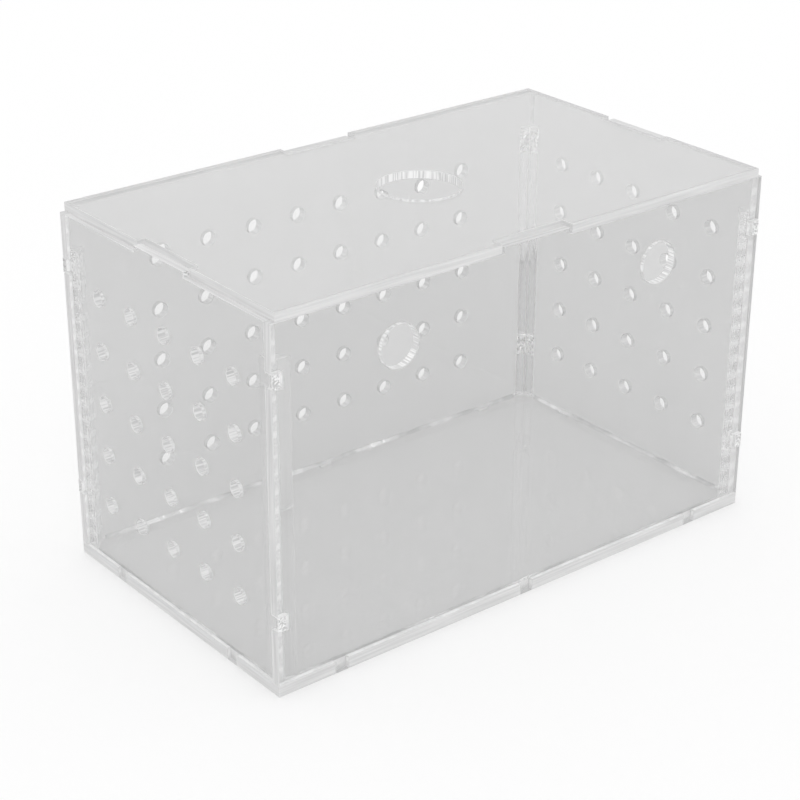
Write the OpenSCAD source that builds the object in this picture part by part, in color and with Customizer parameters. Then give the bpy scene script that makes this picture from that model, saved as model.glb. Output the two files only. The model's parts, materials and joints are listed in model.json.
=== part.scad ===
// Fish breeding box: six clear sheets. Five are joined by tabs and notches into an open box,
// with a clear strip glued up each of its four inside corners, and the sixth is a loose lid.
// +X runs along the box, the face with the two suction cup holes looks along -Y, and +Z is up.
// The origin is the middle of the underside. All sizes are in mm.

/* [Box] */
// Length of the walls and the floor
box_l = 200; // [180:1:260]
// Width from the front face to the back face
box_w = 114; // [95:1:160]
// Height from the underside of the floor to the top of the lid
box_h = 126; // [105:1:170]

/* [Sheets] */
// Thickness of the four walls
wall_t = 3; // [2:0.5:5]
// Thickness of the floor
floor_t = 4; // [2:0.5:6]
// Thickness of the lid
lid_t = 3; // [2.5:0.5:5]

/* [Lid] */
// How far the lid stops short of the walls at each end
lid_inset = 1.75; // [0:0.25:3]
// Diameter of the feeding hole in the middle of the lid
feed_d = 28; // [16:1:45]
// Length of the tab in the middle of the top edge of each wall
top_tab_w = 27; // [12:1:40]
// Height of that tab above the rest of the wall
top_tab_h = 2; // [1:0.25:2.5]
// Clearance between a top tab and each side of its notch in the lid
notch_side_gap = 0.75; // [0.25:0.25:1.5]
// Clearance between a top tab and the bottom of its notch in the lid
notch_back_gap = 1.7; // [0.5:0.1:3]

/* [Suction cup holes] */
// Diameter of the two holes in the front wall
cup_d = 14; // [6:0.5:20]
// Distance between their centres
cup_spacing = 107; // [60:1:130]
// Distance from the top of the lid down to their centres
cup_drop = 22.5; // [18:0.5:40]

/* [Vents] */
// Diameter of the vent holes
vent_d = 5; // [2:0.5:8]
// Distance between neighbouring vent holes, both ways
vent_pitch = 18.4; // [10:0.1:20]
// Rows of vent holes, one above another
vent_rows = 5; // [1:1:5]
// Columns of vent holes in each end wall
end_columns = 5; // [1:1:5]
// Columns of vent holes in the back wall
back_columns = 8; // [1:1:8]

/* [Corner joints] */
// Width of the small tabs that lock the walls to each other and to the floor
tab_w = 5; // [3:0.5:10]
// Clearance between a small tab and each side of its notch
tab_gap = 0.1; // [0.05:0.05:0.3]
// Depth of a corner notch in the front and back walls behind the tab that fills it
corner_gap = 1; // [0.1:0.1:2]
// How far the end walls' side tabs stand out of the front and back faces
tab_proud = 0.3; // [0:0.1:1]
// Distance from the top of the lid down to the middle of the upper side tabs
upper_tab_drop = 21; // [15:0.5:30]
// Height of the middle of the lower side tabs above the underside
lower_tab_z = 25.5; // [15:0.5:35]
// Distance from the middle of the front and back walls to their outer floor tabs
long_tab_x = 76; // [40:1:80]
// Distance from the middle of the end walls to each of their floor tabs
end_tab_y = 32; // [15:1:38]

/* [Corner strips] */
// Length of the two glued faces of a strip, across the strip
strip_leg = 5; // [3:0.5:8]
// How far the strips stop short of the top of the walls
strip_drop = 12; // [5:1:30]

/* [Hidden] */
// The underside of the lid, where the walls end
wall_top = box_h - lid_t;
// The end walls fit between the front and the back wall
end_span = box_w - 2 * wall_t;
// Middles of the joints, counted from the middle of each wall
long_tabs = [-long_tab_x, 0, long_tab_x];
end_tabs = [-end_tab_y, end_tab_y];
side_tabs = [lower_tab_z, box_h - upper_tab_drop];
// Width of the notch that takes a small tab
tab_notch_w = tab_w + 2 * tab_gap;
// Notches in the lid, from the outer face of the walls
lid_notch_w = top_tab_w + 2 * notch_side_gap;
lid_notch_depth = wall_t + notch_back_gap;
// How far a cutting shape runs past the sheet that it cuts
past = 1;
// The walls and the lid are clear, and look pale grey where two or more lie behind each other
clear_sheet = [0.84, 0.85, 0.86];
clear_floor = [0.78, 0.79, 0.8];
$fn = 48;

// Place of hole i of n along a row that is centred on zero
function place(i, n) = (i - (n - 1) / 2) * vent_pitch;

// A block centred in X and Y, from height low to height high
module block(x, y, low, high) {
  translate([-x / 2, -y / 2, low]) cube([x, y, high - low]);
}

// A round hole along Y, through a wall whose middle plane is at y
module hole_along_y(x, y, z, d) {
  translate([x, y, z]) rotate([90, 0, 0]) cylinder(d = d, h = wall_t + 2 * past, center = true);
}

// A round hole along X, through a wall whose middle plane is at x
module hole_along_x(x, y, z, d) {
  translate([x, y, z]) rotate([0, 90, 0]) cylinder(d = d, h = wall_t + 2 * past, center = true);
}

// A wall that runs the full length of the box. side is -1 at the front and 1 at the back
module long_wall(side) {
  middle = side * (box_w - wall_t) / 2;
  corner_depth = wall_t + corner_gap;
  difference() {
    translate([0, middle, 0]) {
      block(box_l, wall_t, floor_t, wall_top);
      block(top_tab_w, wall_t, floor_t, wall_top + top_tab_h);
      for (x = long_tabs) translate([x, 0, 0]) block(tab_w, wall_t, 0, wall_top);
    }
    for (end = [-1, 1], z = side_tabs)
      translate([end * (box_l - corner_depth + past) / 2, middle, 0])
        block(corner_depth + past, wall_t + 2 * past, z - tab_notch_w / 2, z + tab_notch_w / 2);
  }
}

// A wall that closes one end of the box. side is -1 at the left and 1 at the right
module end_wall(side) {
  middle = side * (box_l - wall_t) / 2;
  difference() {
    translate([middle, 0, 0]) {
      block(wall_t, end_span, floor_t, wall_top);
      block(wall_t, top_tab_w, floor_t, wall_top + top_tab_h);
      for (y = end_tabs) translate([0, y, 0]) block(wall_t, tab_w, 0, wall_top);
      for (z = side_tabs) block(wall_t, box_w + 2 * tab_proud, z - tab_w / 2, z + tab_w / 2);
    }
    for (c = [0 : end_columns - 1], r = [0 : vent_rows - 1])
      hole_along_x(middle, place(c, end_columns), box_h / 2 + place(r, vent_rows), vent_d);
  }
}

// The floor carries the walls, whose tabs pass down through the notches in its edges
module floor_panel() {
  depth = wall_t + tab_gap;
  color(clear_floor) difference() {
    block(box_l, box_w, 0, floor_t);
    for (x = long_tabs, side = [-1, 1])
      translate([x, side * (box_w - depth + past) / 2, 0])
        block(tab_notch_w, depth + past, -past, floor_t + past);
    for (y = end_tabs, side = [-1, 1])
      translate([side * (box_l - depth + past) / 2, y, 0])
        block(depth + past, tab_notch_w, -past, floor_t + past);
  }
}

// The front wall has the two holes that take the necks of suction cups
module front_panel() {
  color(clear_sheet) difference() {
    long_wall(-1);
    for (end = [-1, 1])
      hole_along_y(end * cup_spacing / 2, -(box_w - wall_t) / 2, box_h - cup_drop, cup_d);
  }
}

// The back wall is vented
module back_panel() {
  color(clear_sheet) difference() {
    long_wall(1);
    for (c = [0 : back_columns - 1], r = [0 : vent_rows - 1])
      hole_along_y(place(c, back_columns), (box_w - wall_t) / 2, box_h / 2 + place(r, vent_rows), vent_d);
  }
}

module left_end_panel() {
  color(clear_sheet) end_wall(-1);
}

module right_end_panel() {
  color(clear_sheet) end_wall(1);
}

// A three-cornered strip that stands on the floor and braces one inside corner of the walls.
// The sides are -1 or 1 and pick the corner: x_side the end wall, y_side the front or back wall
module corner_strip(x_side, y_side) {
  corner_x = x_side * (box_l / 2 - wall_t);
  corner_y = y_side * end_span / 2;
  color(clear_sheet) translate([corner_x, corner_y, floor_t])
    linear_extrude(height = wall_top - strip_drop - floor_t)
      polygon([[0, 0], [-x_side * strip_leg, 0], [0, -y_side * strip_leg]]);
}

module front_left_strip() {
  corner_strip(-1, -1);
}

module front_right_strip() {
  corner_strip(1, -1);
}

module back_left_strip() {
  corner_strip(-1, 1);
}

module back_right_strip() {
  corner_strip(1, 1);
}

// The lid lies on the four walls, and the notches in its edges keep it in place round their tabs
module lid_panel() {
  color(clear_sheet) difference() {
    block(box_l - 2 * lid_inset, box_w, wall_top, box_h);
    for (side = [-1, 1]) {
      translate([0, side * (box_w - lid_notch_depth + past) / 2, 0])
        block(lid_notch_w, lid_notch_depth + past, wall_top - past, box_h + past);
      translate([side * (box_l - lid_notch_depth + past) / 2, 0, 0])
        block(lid_notch_depth + past, lid_notch_w, wall_top - past, box_h + past);
    }
    translate([0, 0, wall_top - past]) cylinder(d = feed_d, h = lid_t + 2 * past);
  }
}

floor_panel();
front_panel();
back_panel();
left_end_panel();
right_end_panel();
front_left_strip();
front_right_strip();
back_left_strip();
back_right_strip();
lid_panel();
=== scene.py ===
import json
import math

import bmesh
import bpy
import numpy as np
from mathutils import Matrix, Vector


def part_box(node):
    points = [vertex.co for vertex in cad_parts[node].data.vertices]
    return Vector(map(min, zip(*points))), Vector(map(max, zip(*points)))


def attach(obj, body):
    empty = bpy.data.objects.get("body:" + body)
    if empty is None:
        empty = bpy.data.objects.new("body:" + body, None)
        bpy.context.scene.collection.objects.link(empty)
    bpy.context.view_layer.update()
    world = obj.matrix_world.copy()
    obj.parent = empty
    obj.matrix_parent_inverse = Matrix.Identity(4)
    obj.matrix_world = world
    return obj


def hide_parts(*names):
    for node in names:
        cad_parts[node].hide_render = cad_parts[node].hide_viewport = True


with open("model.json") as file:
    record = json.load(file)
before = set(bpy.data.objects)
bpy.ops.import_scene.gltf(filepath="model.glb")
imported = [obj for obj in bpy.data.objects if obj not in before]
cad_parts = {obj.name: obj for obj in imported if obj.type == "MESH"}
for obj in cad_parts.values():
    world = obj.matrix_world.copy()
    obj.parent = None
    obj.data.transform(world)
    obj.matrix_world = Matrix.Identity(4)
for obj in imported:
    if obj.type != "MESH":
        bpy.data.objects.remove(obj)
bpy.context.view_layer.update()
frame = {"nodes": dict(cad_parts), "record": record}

# A fish breeding box of clear sheets, glued at the corners, with a loose lid. Sizes are in metres.
scene = bpy.context.scene
UP = Vector((0.0, 0.0, 1.0))

# Pieces
AIR_FILM = 0.00002  # between glued or stacked pieces, so that no two clear faces coincide
ARRIS = 0.0002  # width of the softened edges
ARRIS_STEPS = 2
SHARP = math.radians(30)  # edges that turn by more than this are softened
SMOOTH = math.radians(15)  # edges that turn by less than this are shaded as one surface
WELD = 0.000001  # corners of a CAD mesh that are closer than this are one
ONE_PLANE = 0.02  # CAD triangles that turn by less than this, in radians, are one face
PARALLEL = 0.999  # faces look the same way where the product of their normals reaches this
SAME_DIRECTION = 0.001  # directions round a corner that differ by less than this share are one
FLAT = 0.9  # a face looks along an axis where its normal has this much of it
JOINT_REACH = 0.001  # an edge that looks into the box within this distance is glued
HOLE_FACET = 0.0019  # edge faces that are narrower than this line a round hole

# Places of the materials in a piece's list
POLISHED, CUT, LINING, CEMENTED, TAB_END = range(5)  # of a sheet
OPEN_SIDE, SAWN, GLUED_SIDE = range(3)  # of a corner strip
SOFTENED = 1  # of the softened edges of both: cut in a sheet, sawn in a strip

# Run of cement along the foot of each wall
SEAM_REACH = 0.001
SEAM_STEPS = 60  # along a run
SEAM_CURVE = 6  # points across its hollow face
SEAM_WAVES = ((0.15, 1.7), (0.1, 0.6))  # its wavy width: share of the reach, and turn at each step

# Clear acrylic
ACRYLIC_IOR = 1.49
# The tints are painted shade: clear acrylic is made grey for the dim surroundings seen through it, more on
# the far sheets than on the near ones
FAR_SHADE_TINT = 0.70  # painted shade: light left after the back or right wall, apart from reflections, darkened to stand in for dim surroundings seen through it
LEFT_SHADE_TINT = 0.83  # the same for the left wall, whose vents show little in the photo
FRONT_SHADE_TINT = 0.865  # the same for the front wall and the lid, whose holes show least
FLOOR_SHADE_TINT = 0.755
TINT_WAVER = 0.006  # how far a tint wanders up and down over a sheet
WALL_HAZE = 0.02  # most roughness of a polished wall
LEVEL_HAZE = 0.03  # the same for the lid and the floor
SHEET_SHADE = 0.97  # lamp light left after each face of a sheet
EDGE_SHADE = 0.85  # the same for a cut edge

# Cut edges: each pair is the darkest and the lightest grey
CUT_GREYS = ((0.68, 0.80), (0.60, 0.74), (0.65, 0.77))  # of sheets that are thin in X, Y and Z
LINING_GREYS = {
    "left_end_panel": (0.62, 0.84),
    "right_end_panel": (0.68, 0.82),
    "front_panel": (0.70, 1.0),
    "back_panel": (0.68, 0.82),
    "lid_panel": (0.66, 0.94),
}
CUT_CLEAR = 0.12  # how clear a cut edge is under its milky surface
CUT_ROUGHNESS = (0.28, 0.34)
CUT_STREAK = 0.03  # width of a cut's lines as a share of their length

# Corner strips, with the darkest and the lightest grey of their lines
LIGHT_STRIP = (0.95, 1.0)
SHADED_STRIP_GREYS = (0.79, 0.90)  # at the far corner: painted shade, darker lines for the darker surroundings that strip shows
STRIP_SCALE = 500.0  # of the lines and spots on the strips
STRIP_STREAK = 0.004  # width of the lines as a share of their length

# Cement in the corners, and painted glints beside the side tabs
TAB_GLINT_REACH = 0.004  # reach of the painted glints above and below the middle of a side tab
BEAD_PITCH = 0.006  # between its beads
WAVE_SPAN = math.pi / 10  # length of one wave of a wave texture of scale 1
STRIP_BEAD = 0.5  # whiteness of the beads on the strips
GLINT_SCALE = 1700.0  # of the white specks on and beside the side tabs: cement and painted glints
GLINT_SHARES = (0.5, 1.0)  # whiteness of the painted glints away from the side tabs and beside them
CEMENT_AND_GLINT_WHITE = 0.97  # grey of cement that has turned white, and of the painted glints

# Parts of a texture's range that count
FULL = (0.0, 1.0)
MIDDLE = (0.3, 0.7)

# Photograph's viewpoint, round the object as direction() counts it
VIEW_AZIMUTH = math.radians(-38.81)
VIEW_ELEVATION = math.radians(25.51)
VIEW_ROLL = math.radians(0.2)
CAMERA_PLACE = Vector((-0.40315, -0.49159, 0.35227))
CAMERA_LENS = 93.6  # millimetres on a 36 mm sensor
NEAREST_SEEN = 0.01

# Studio
FLOOR_SIDE = 60.0
FLOOR_CELLS = 24
FLOOR_DROP = 0.0001
FLOOR_WHITE = 0.97
SKY_LIGHT = 0.85  # light from all round on matt surfaces
LAMP_LIGHT = 0.18  # light from the lamp on the floor
LAMP_AZIMUTH = math.radians(-36)
LAMP_ELEVATION = math.radians(50)
LAMP_WIDTH = math.radians(25)


def direction(azimuth, elevation):
    """From the object towards a camera or a lamp."""
    level = math.cos(elevation)
    return Vector((math.sin(azimuth) * level, -math.cos(azimuth) * level, math.sin(elevation)))


def grey(level):
    """A colour for a socket."""
    return (level, level, level, 1.0)


def empty_tree(owner):
    """The node tree of a new material or world, with nothing in it."""
    owner.use_nodes = True
    owner.node_tree.nodes.clear()
    return owner.node_tree


def add_node(tree, kind, **settings):
    """A shader node, with its inputs set by name: two words are joined by an underscore."""
    node = tree.nodes.new(kind)
    for name, value in settings.items():
        node.inputs[name.replace("_", " ")].default_value = value
    return node


def combine(tree, operation, first, second):
    """A Math node on two outputs."""
    node = tree.nodes.new("ShaderNodeMath")
    node.operation = operation
    tree.links.new(first, node.inputs[0])
    tree.links.new(second, node.inputs[1])
    return node.outputs["Value"]


def noise(tree, scale, detail, stretch=(1.0, 1.0, 1.0)):
    """Noise that is fixed to the object, stretched along an axis where its factor is small."""
    place = add_node(tree, "ShaderNodeTexCoord")
    mapping = add_node(tree, "ShaderNodeMapping", Scale=stretch)
    texture = add_node(tree, "ShaderNodeTexNoise", Scale=scale, Detail=detail, Roughness=0.6)
    tree.links.new(place.outputs["Object"], mapping.inputs["Vector"])
    tree.links.new(mapping.outputs["Vector"], texture.inputs["Vector"])
    return texture.outputs["Fac"]


def between(tree, source, values, band=MIDDLE):
    """Spreads a band of a texture's range over a range of values."""
    spread = add_node(tree, "ShaderNodeMapRange", From_Min=band[0], From_Max=band[1],
                      To_Min=values[0], To_Max=values[1])
    tree.links.new(source, spread.inputs["Value"])
    return spread.outputs["Result"]


def mix_colours(tree, amount, second):
    """A mix with a grey: gives the socket of its first colour, still to be set or joined, and its result."""
    mix = tree.nodes.new("ShaderNodeMix")
    mix.data_type = "RGBA"
    mix.inputs[7].default_value = grey(second)
    tree.links.new(amount, mix.inputs["Factor"])
    return mix.inputs[6], mix.outputs[2]


def grey_between(tree, source, greys, band=MIDDLE):
    """Spreads a band of a texture's range over two greys."""
    darkest, lightest = greys
    first, mixed = mix_colours(tree, between(tree, source, FULL, band), lightest)
    first.default_value = grey(darkest)
    return mixed


def whiter(tree, colour, amount):
    """A colour that turns nearly white where the amount is 1."""
    first, mixed = mix_colours(tree, amount, CEMENT_AND_GLINT_WHITE)
    tree.links.new(colour, first)
    return mixed


def bump(tree, source, strength, depth):
    """A bump in the surface where a texture is high."""
    node = add_node(tree, "ShaderNodeBump", Strength=strength, Distance=depth)
    tree.links.new(source, node.inputs["Height"])
    return node.outputs["Normal"]


def mix_shaders(tree, share, first, second, output_kind):
    """Joins two shaders to a new output node, the second where the share is 1."""
    mix = tree.nodes.new("ShaderNodeMixShader")
    output = tree.nodes.new(output_kind)
    tree.links.new(share, mix.inputs["Fac"])
    tree.links.new(first, mix.inputs[1])
    tree.links.new(second, mix.inputs[2])
    tree.links.new(mix.outputs["Shader"], output.inputs["Surface"])


def new_clear(name, shade, **settings):
    """Acrylic or cement. Lamp light and light from matt surfaces go straight on, less the shade."""
    material = bpy.data.materials.new(name)
    tree = empty_tree(material)
    body = add_node(tree, "ShaderNodeBsdfPrincipled", IOR=ACRYLIC_IOR, **settings)
    straight = add_node(tree, "ShaderNodeBsdfTransparent", Color=grey(shade))
    path = tree.nodes.new("ShaderNodeLightPath")
    passing = combine(tree, "MAXIMUM", path.outputs["Is Shadow Ray"], path.outputs["Is Diffuse Ray"])
    mix_shaders(tree, passing, body.outputs["BSDF"], straight.outputs["BSDF"], "ShaderNodeOutputMaterial")
    return material, tree, body


def dress(tree, body, colour, roughness, normal):
    """Joins the colour, roughness and bump of a surface to its shader."""
    tree.links.new(colour, body.inputs["Base Color"])
    tree.links.new(roughness, body.inputs["Roughness"])
    tree.links.new(normal, body.inputs["Normal"])


def side_tab_heights():
    """Heights of the end walls' side tabs, which reach past the inner faces of the long walls."""
    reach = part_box("back_panel")[0][1] + AIR_FILM
    mesh = frame["nodes"]["left_end_panel"].data
    heights = sorted({round(corner.co.z, 5) for corner in mesh.vertices if corner.co.y > reach})
    return [(low + high) / 2 for low, high in zip(heights[::2], heights[1::2])]


def beside_tabs(tree):
    """1 beside the walls' side tabs and 0 elsewhere."""
    place = add_node(tree, "ShaderNodeTexCoord")
    split = tree.nodes.new("ShaderNodeSeparateXYZ")
    tree.links.new(place.outputs["Object"], split.inputs["Vector"])
    near = []
    for height in side_tab_heights():
        node = tree.nodes.new("ShaderNodeMath")
        node.operation = "COMPARE"
        node.inputs[1].default_value = height
        node.inputs[2].default_value = TAB_GLINT_REACH
        tree.links.new(split.outputs["Z"], node.inputs[0])
        near.append(node.outputs["Value"])
    return combine(tree, "MAXIMUM", *near)


def cement_beads(tree, waver):
    """Beads of cement at an even pitch up a corner: high where a bead is."""
    place = add_node(tree, "ShaderNodeTexCoord")
    wave = add_node(tree, "ShaderNodeTexWave", Scale=WAVE_SPAN / BEAD_PITCH, Distortion=waver,
                    Detail=1.0, Detail_Scale=4.0)
    wave.bands_direction = "Z"
    tree.links.new(place.outputs["Object"], wave.inputs["Vector"])
    return wave.outputs["Fac"]


def polished_face(name, shade_tint, haze):
    """The polished face of a sheet: faint wiping marks and a slow ripple in the surface."""
    material, tree, acrylic = new_clear(name, SHEET_SHADE, Transmission_Weight=1.0)
    marks = noise(tree, scale=36.0, detail=6.0)
    ripple = noise(tree, scale=12.0, detail=1.0)
    # The sheet's tint is painted shade, for dim surroundings seen through it
    dress(tree, acrylic,
          colour=grey_between(tree, marks, (shade_tint - TINT_WAVER, shade_tint + TINT_WAVER)),
          roughness=between(tree, marks, (0.0, haze)),
          normal=bump(tree, ripple, strength=0.04, depth=0.001))
    return material


def laser_cut(name, greys, scale, stretch, band=MIDDLE):
    """A face as the laser leaves it: milky, with fine lines."""
    material, tree, acrylic = new_clear(name, EDGE_SHADE, Transmission_Weight=CUT_CLEAR,
                                        Specular_IOR_Level=0.0)
    lines = noise(tree, scale, detail=1.0, stretch=stretch)
    dress(tree, acrylic,
          colour=grey_between(tree, lines, greys, band),
          roughness=between(tree, lines, CUT_ROUGHNESS),
          normal=bump(tree, lines, strength=0.2, depth=0.00005))
    return material


def cut_edge(thin):
    """The outer edge of a sheet: its lines run along the sheet. thin is the axis of its thickness."""
    stretch = [CUT_STREAK, CUT_STREAK, CUT_STREAK]
    stretch[thin] = 1.0
    return laser_cut("cut_edge_" + "xyz"[thin], CUT_GREYS[thin], scale=1300.0, stretch=stretch)


def hole_lining(node, thin):
    """The lining of a sheet's round holes: its grooves run from face to face."""
    stretch = [1.0, 1.0, 1.0]
    stretch[thin] = CUT_STREAK
    name = "lining_" + node.split("_")[0]
    return laser_cut(name, LINING_GREYS[node], scale=2000.0, stretch=stretch, band=(0.4, 0.6))


def cemented_edge():
    """A glued edge: matt cement, with light beads up the corners and glints, most of all beside the tabs."""
    material, tree, cement = new_clear("cemented_edge", EDGE_SHADE, Specular_IOR_Level=0.0)
    beads = cement_beads(tree, waver=2.5)
    frost = noise(tree, scale=2500.0, detail=2.0)
    # Painted highlights: white glints in the cement's colour, most of all beside the side tabs
    glints = between(tree, noise(tree, GLINT_SCALE, detail=2.0), FULL, band=(0.46, 0.57))
    share = between(tree, beside_tabs(tree), GLINT_SHARES, band=FULL)
    plain = grey_between(tree, beads, (0.78, 0.92), band=(0.6, 0.95))
    dress(tree, cement,
          colour=whiter(tree, plain, combine(tree, "MULTIPLY", glints, share)),
          roughness=between(tree, beads, (0.5, 0.7)),
          normal=bump(tree, frost, strength=0.3, depth=0.0001))
    return material


def tab_end():
    """The end of a side tab, with cement run out on it: white specks on grey, both cement and painted
    glints.
    """
    material, tree, cement = new_clear("tab_end", EDGE_SHADE, Transmission_Weight=CUT_CLEAR,
                                       Specular_IOR_Level=0.0)
    specks = noise(tree, GLINT_SCALE, detail=2.0)
    dress(tree, cement,
          colour=grey_between(tree, specks, (0.54, 0.93), band=(0.45, 0.57)),
          roughness=between(tree, specks, (0.3, 0.5)),
          normal=bump(tree, specks, strength=0.4, depth=0.0001))
    return material


def seam_cement():
    """The cement that has run out along the foot of a wall: clear and whitish in turn."""
    material, tree, cement = new_clear("cement_seam", EDGE_SHADE, Transmission_Weight=0.3,
                                       Specular_IOR_Level=0.0)
    cloud = noise(tree, scale=60.0, detail=4.0)
    dress(tree, cement,
          colour=grey_between(tree, cloud, (0.62, 0.96), band=(0.42, 0.62)),
          roughness=between(tree, cloud, (0.15, 0.3)),
          normal=bump(tree, cloud, strength=0.4, depth=0.0002))
    return material


def sawn_end():
    """The end of a corner strip: sawn, so it is nearly white."""
    material, tree, acrylic = new_clear("sawn_end", EDGE_SHADE, Transmission_Weight=0.2)
    teeth = noise(tree, scale=1500.0, detail=2.0, stretch=(0.1, 1.0, 1.0))
    dress(tree, acrylic,
          colour=grey_between(tree, teeth, (0.80, 0.90)),
          roughness=between(tree, teeth, (0.4, 0.6)),
          normal=bump(tree, teeth, strength=0.6, depth=0.0001))
    return material


def strip_beads_and_glints(tree, bead):
    """Cement on a strip's glued side: beads up it, and whitish spots beside the side tabs that are painted
    glints of the tabs.
    """
    tab_glints = between(tree, noise(tree, STRIP_SCALE, detail=1.0), (0.0, 0.8), band=(0.42, 0.62))
    tab_glints = combine(tree, "MULTIPLY", tab_glints, beside_tabs(tree))
    beads = between(tree, cement_beads(tree, waver=0.3), (0.0, bead), band=(0.3, 0.95))
    return combine(tree, "MAXIMUM", tab_glints, beads)


def strip_side(name, greys, bead=None):
    """A side of a corner strip: clear, with faint lines along it. bead is given where it is glued."""
    material, tree, acrylic = new_clear(name, SHEET_SHADE, Transmission_Weight=1.0)
    lines = noise(tree, STRIP_SCALE, detail=1.0, stretch=(1.0, 1.0, STRIP_STREAK))
    colour = grey_between(tree, lines, greys, band=(0.38, 0.5))
    if bead is not None:
        # The beads of cement and the painted glints beside the side tabs whiten the strip and make it less
        # clear there
        cement = strip_beads_and_glints(tree, bead)
        colour = whiter(tree, colour, cement)
        clearness = between(tree, cement, (1.0, 0.3), band=FULL)
        tree.links.new(clearness, acrylic.inputs["Transmission Weight"])
    dress(tree, acrylic, colour,
          roughness=between(tree, lines, (0.0, 0.05)),
          normal=bump(tree, lines, strength=0.15, depth=0.0002))
    return material


def in_a_joint(face):
    """Whether a cut face of the box lies against another sheet: it looks neither out nor at the lid."""
    low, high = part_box("floor_panel")
    ahead = face.calc_center_median() + face.normal * JOINT_REACH
    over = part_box("lid_panel")[0][2]
    return low[0] < ahead.x < high[0] and low[1] < ahead.y < high[1] and low[2] < ahead.z < over


def sheet_face(face, thin, thickness):
    """The place of a face's material in a sheet's list."""
    if abs(face.normal[thin]) > FLAT:
        return POLISHED
    if face.calc_area() / thickness < HOLE_FACET:
        return LINING
    if in_a_joint(face):
        return CEMENTED
    return TAB_END if thin == 0 and abs(face.normal.y) > FLAT else CUT


def strip_face(face):
    """The place of a face's material in a strip's list."""
    if abs(face.normal.z) > FLAT:
        return SAWN
    return GLUED_SIDE if max(abs(face.normal.x), abs(face.normal.y)) > FLAT else OPEN_SIDE


def add_object(name, bm, materials):
    """Turns a finished mesh into an object of the scene."""
    mesh = bpy.data.meshes.new(name)
    bm.to_mesh(mesh)
    bm.free()
    for material in materials:
        mesh.materials.append(material)
    piece = bpy.data.objects.new(name, mesh)
    scene.collection.objects.link(piece)
    return piece


def drawn_in(bm, amount):
    """Moves every face inward by the same small amount."""
    bm.normal_update()
    moves = []
    for corner in bm.verts:
        normals = []
        for face in corner.link_faces:
            if all(face.normal.dot(other) < PARALLEL for other in normals):
                normals.append(face.normal.copy())
        facing = np.array([tuple(normal) for normal in normals])
        move, *_ = np.linalg.lstsq(facing, np.full(len(normals), -amount), rcond=SAME_DIRECTION)
        moves.append(Vector(move))
    for corner, move in zip(bm.verts, moves):
        corner.co += move


def softened(node, pick):
    """A CAD node's own shape, drawn in, with softened edges. pick tells a face's material."""
    bm = bmesh.new()
    bm.from_mesh(frame["nodes"][node].data)
    bmesh.ops.remove_doubles(bm, verts=bm.verts, dist=WELD)
    bmesh.ops.dissolve_limit(bm, angle_limit=ONE_PLANE, verts=bm.verts, edges=bm.edges)
    drawn_in(bm, AIR_FILM)
    bm.normal_update()
    for face in bm.faces:
        face.material_index = pick(face)
    corners = [edge for edge in bm.edges if edge.calc_face_angle() > SHARP]
    bmesh.ops.bevel(bm, geom=corners, offset=ARRIS, offset_type="OFFSET", segments=ARRIS_STEPS,
                    profile=0.5, affect="EDGES", clamp_overlap=True, material=SOFTENED)
    bm.normal_update()
    for face in bm.faces:
        face.smooth = True
    for edge in bm.edges:
        edge.smooth = edge.calc_face_angle() < SMOOTH
    return bm


def clear_piece(node, body, materials, pick):
    """Stands for a CAD node on its body."""
    name = node.replace("panel", "pane").replace("strip", "bar")
    piece = add_object(name, softened(node, pick), materials)
    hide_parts(node)
    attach(piece, body)


def thin_axis(node):
    """The axis of a sheet's thickness, and the thickness."""
    low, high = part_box(node)
    size = high - low
    thin = min(range(3), key=lambda axis: size[axis])
    return thin, size[thin]


def polished_faces():
    """The polished material of each sheet. The back and right walls share one."""
    far = polished_face("clear_wall", FAR_SHADE_TINT, WALL_HAZE)
    return {
        "front_panel": polished_face("clear_front", FRONT_SHADE_TINT, WALL_HAZE),
        "back_panel": far,
        "left_end_panel": polished_face("clear_left", LEFT_SHADE_TINT, WALL_HAZE),
        "right_end_panel": far,
        "lid_panel": polished_face("clear_lid", FRONT_SHADE_TINT, LEVEL_HAZE),
        "floor_panel": polished_face("clear_floor", FLOOR_SHADE_TINT, LEVEL_HAZE),
    }


def sheet_materials():
    """The list of materials of each sheet. One without round holes has its cut edge for a lining."""
    cuts = [cut_edge(thin) for thin in range(3)]
    cemented = cemented_edge()
    speckled = tab_end()
    lists = {}
    for node, polished in polished_faces().items():
        thin, _ = thin_axis(node)
        lining = hole_lining(node, thin) if node in LINING_GREYS else cuts[thin]
        lists[node] = [polished, cuts[thin], lining, cemented, speckled]
    return lists


def strip_materials():
    """The list of materials of each corner strip."""
    sawn = sawn_end()
    light = strip_side("clear_strip", LIGHT_STRIP)
    beaded = strip_side("glued_strip", LIGHT_STRIP, bead=STRIP_BEAD)
    # The far corner's strip has darker lines as painted shade
    dark = strip_side("painted_shade_strip", SHADED_STRIP_GREYS)
    dark_glued = strip_side("painted_shade_glued", SHADED_STRIP_GREYS, bead=0.0)
    return {
        "front_left_strip": [light, sawn, light],
        "front_right_strip": [light, sawn, beaded],
        "back_left_strip": [light, sawn, beaded],
        "back_right_strip": [dark, sawn, dark_glued],
    }


def build_box():
    """Every CAD node as a clear piece on its own body."""
    sheets = sheet_materials()
    strips = strip_materials()
    for body, nodes in frame["record"]["behaviour"]["bodies"].items():
        for node in nodes:
            if node in strips:
                clear_piece(node, body, strips[node], strip_face)
                continue
            thin, thickness = thin_axis(node)
            clear_piece(node, body, sheets[node],
                        lambda face: sheet_face(face, thin, thickness))


def seam_ring(bm, start, inward, reach):
    """One section of a run of cement: its corner, and a hollow curve from the floor up to the wall."""
    ring = [bm.verts.new(start)]
    for turn in np.linspace(math.pi * 1.5, math.pi, SEAM_CURVE):
        out = reach * (1 + math.cos(turn))
        rise = reach * (1 + math.sin(turn))
        ring.append(bm.verts.new(start + inward * out + UP * rise))
    return ring


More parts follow.
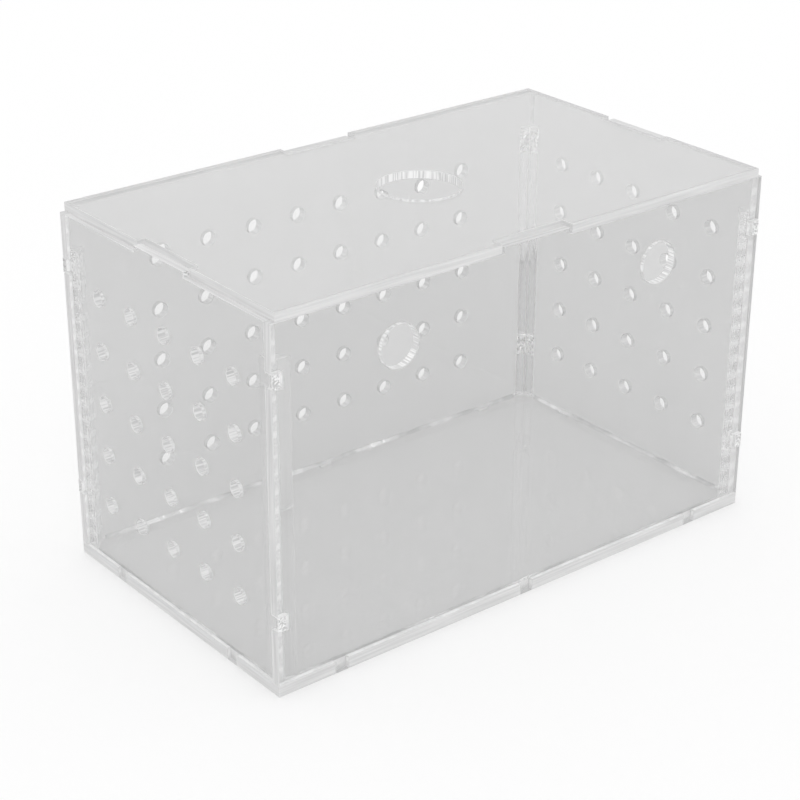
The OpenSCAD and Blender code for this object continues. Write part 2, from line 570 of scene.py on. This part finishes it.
def cement_run(name, corner, inward, length, material):
    """A run of cement in the corner between the floor and a wall, with a slightly wavy width."""
    along = inward.cross(UP)
    bm = bmesh.new()
    rings = []
    for step in range(SEAM_STEPS + 1):
        start = corner + along * length * (step / SEAM_STEPS - 0.5)
        wave = sum(share * math.sin(turn * step) for share, turn in SEAM_WAVES)
        rings.append(seam_ring(bm, start, inward, SEAM_REACH * (1 + wave)))
    for one, two in zip(rings, rings[1:]):
        for here in range(len(one)):
            there = (here + 1) % len(one)
            bm.faces.new((one[here], one[there], two[there], two[here]))
    bm.faces.new(rings[0])
    bm.faces.new(rings[-1])
    bmesh.ops.recalc_face_normals(bm, faces=bm.faces)
    piece = add_object(name, bm, [material])
    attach(piece, "box")


def build_seams():
    """The run of cement along the foot of each wall, between the corner strips."""
    material = seam_cement()
    inner = (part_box("right_end_panel")[0][0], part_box("back_panel")[0][1])
    floor_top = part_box("floor_panel")[1][2]
    low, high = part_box("front_left_strip")
    strip = high - low
    walls = (("front", 1, -1), ("back", 1, 1), ("left", 0, -1), ("right", 0, 1))
    for name, across, side in walls:
        corner = UP * floor_top
        corner[across] = side * inner[across]
        inward = Vector((0.0, 0.0, 0.0))
        inward[across] = -side
        along = 1 - across
        length = 2 * (inner[along] - strip[along] - SEAM_REACH)
        cement_run(name + "_seam", corner, inward, length, material)


def build_floor():
    """A wide white floor."""
    bm = bmesh.new()
    bmesh.ops.create_grid(bm, x_segments=FLOOR_CELLS, y_segments=FLOOR_CELLS, size=FLOOR_SIDE / 2)
    material = bpy.data.materials.new("studio_white")
    tree = empty_tree(material)
    matt = add_node(tree, "ShaderNodeBsdfDiffuse", Color=grey(FLOOR_WHITE))
    output = tree.nodes.new("ShaderNodeOutputMaterial")
    tree.links.new(matt.outputs["BSDF"], output.inputs["Surface"])
    floor = add_object("studio_floor", bm, [material])
    floor.location.z = -FLOOR_DROP


def build_world():
    """Soft light from all round, and plain white where the background shows."""
    scene.world = bpy.data.worlds.new("studio")
    tree = empty_tree(scene.world)
    path = tree.nodes.new("ShaderNodeLightPath")
    seen = path.outputs["Is Camera Ray"]
    for kind in ("Is Glossy Ray", "Is Transmission Ray"):
        seen = combine(tree, "MAXIMUM", seen, path.outputs[kind])
    light = add_node(tree, "ShaderNodeBackground", Color=grey(1.0), Strength=SKY_LIGHT)
    white = add_node(tree, "ShaderNodeBackground", Color=grey(1.0), Strength=1.0)
    mix_shaders(tree, seen, light.outputs["Background"], white.outputs["Background"],
                "ShaderNodeOutputWorld")


def build_lamp():
    """One soft lamp on the camera's side, which clear surfaces neither mirror nor show."""
    lamp_data = bpy.data.lights.new("lamp", "SUN")
    lamp_data.angle = LAMP_WIDTH
    lamp_data.energy = math.pi * LAMP_LIGHT / math.sin(LAMP_ELEVATION)
    lamp = bpy.data.objects.new("lamp", lamp_data)
    to_lamp = direction(LAMP_AZIMUTH, LAMP_ELEVATION)
    lamp.location = to_lamp
    lamp.rotation_mode = "QUATERNION"
    lamp.rotation_quaternion = to_lamp.to_track_quat("Z", "Y")
    lamp.visible_glossy = False
    lamp.visible_transmission = False
    scene.collection.objects.link(lamp)


def place_camera():
    """The camera where the photograph was taken from."""
    back = direction(VIEW_AZIMUTH, VIEW_ELEVATION)
    level = Vector((math.cos(VIEW_AZIMUTH), math.sin(VIEW_AZIMUTH), 0.0))
    upright = back.cross(level)
    right = level * math.cos(VIEW_ROLL) + upright * math.sin(VIEW_ROLL)
    camera_data = bpy.data.cameras.new("camera")
    camera_data.lens = CAMERA_LENS
    camera_data.clip_start = NEAREST_SEEN
    camera_data.clip_end = FLOOR_SIDE
    camera = bpy.data.objects.new("camera", camera_data)
    axes = Matrix((right, back.cross(right), back)).transposed()
    camera.matrix_world = Matrix.Translation(CAMERA_PLACE) @ axes.to_4x4()
    scene.collection.objects.link(camera)
    scene.camera = camera


def set_render():
    """Enough bounces for light that is caught inside the sheets."""
    scene.view_settings.view_transform = "Standard"
    scene.cycles.caustics_reflective = False
    scene.cycles.caustics_refractive = False
    scene.cycles.max_bounces = 64
    scene.cycles.glossy_bounces = 48
    scene.cycles.transmission_bounces = 32
    scene.cycles.diffuse_bounces = 3
    scene.cycles.transparent_max_bounces = 32
    scene.cycles.use_denoising = True


build_seams()
build_box()
build_floor()
build_world()
build_lamp()
place_camera()
set_render()
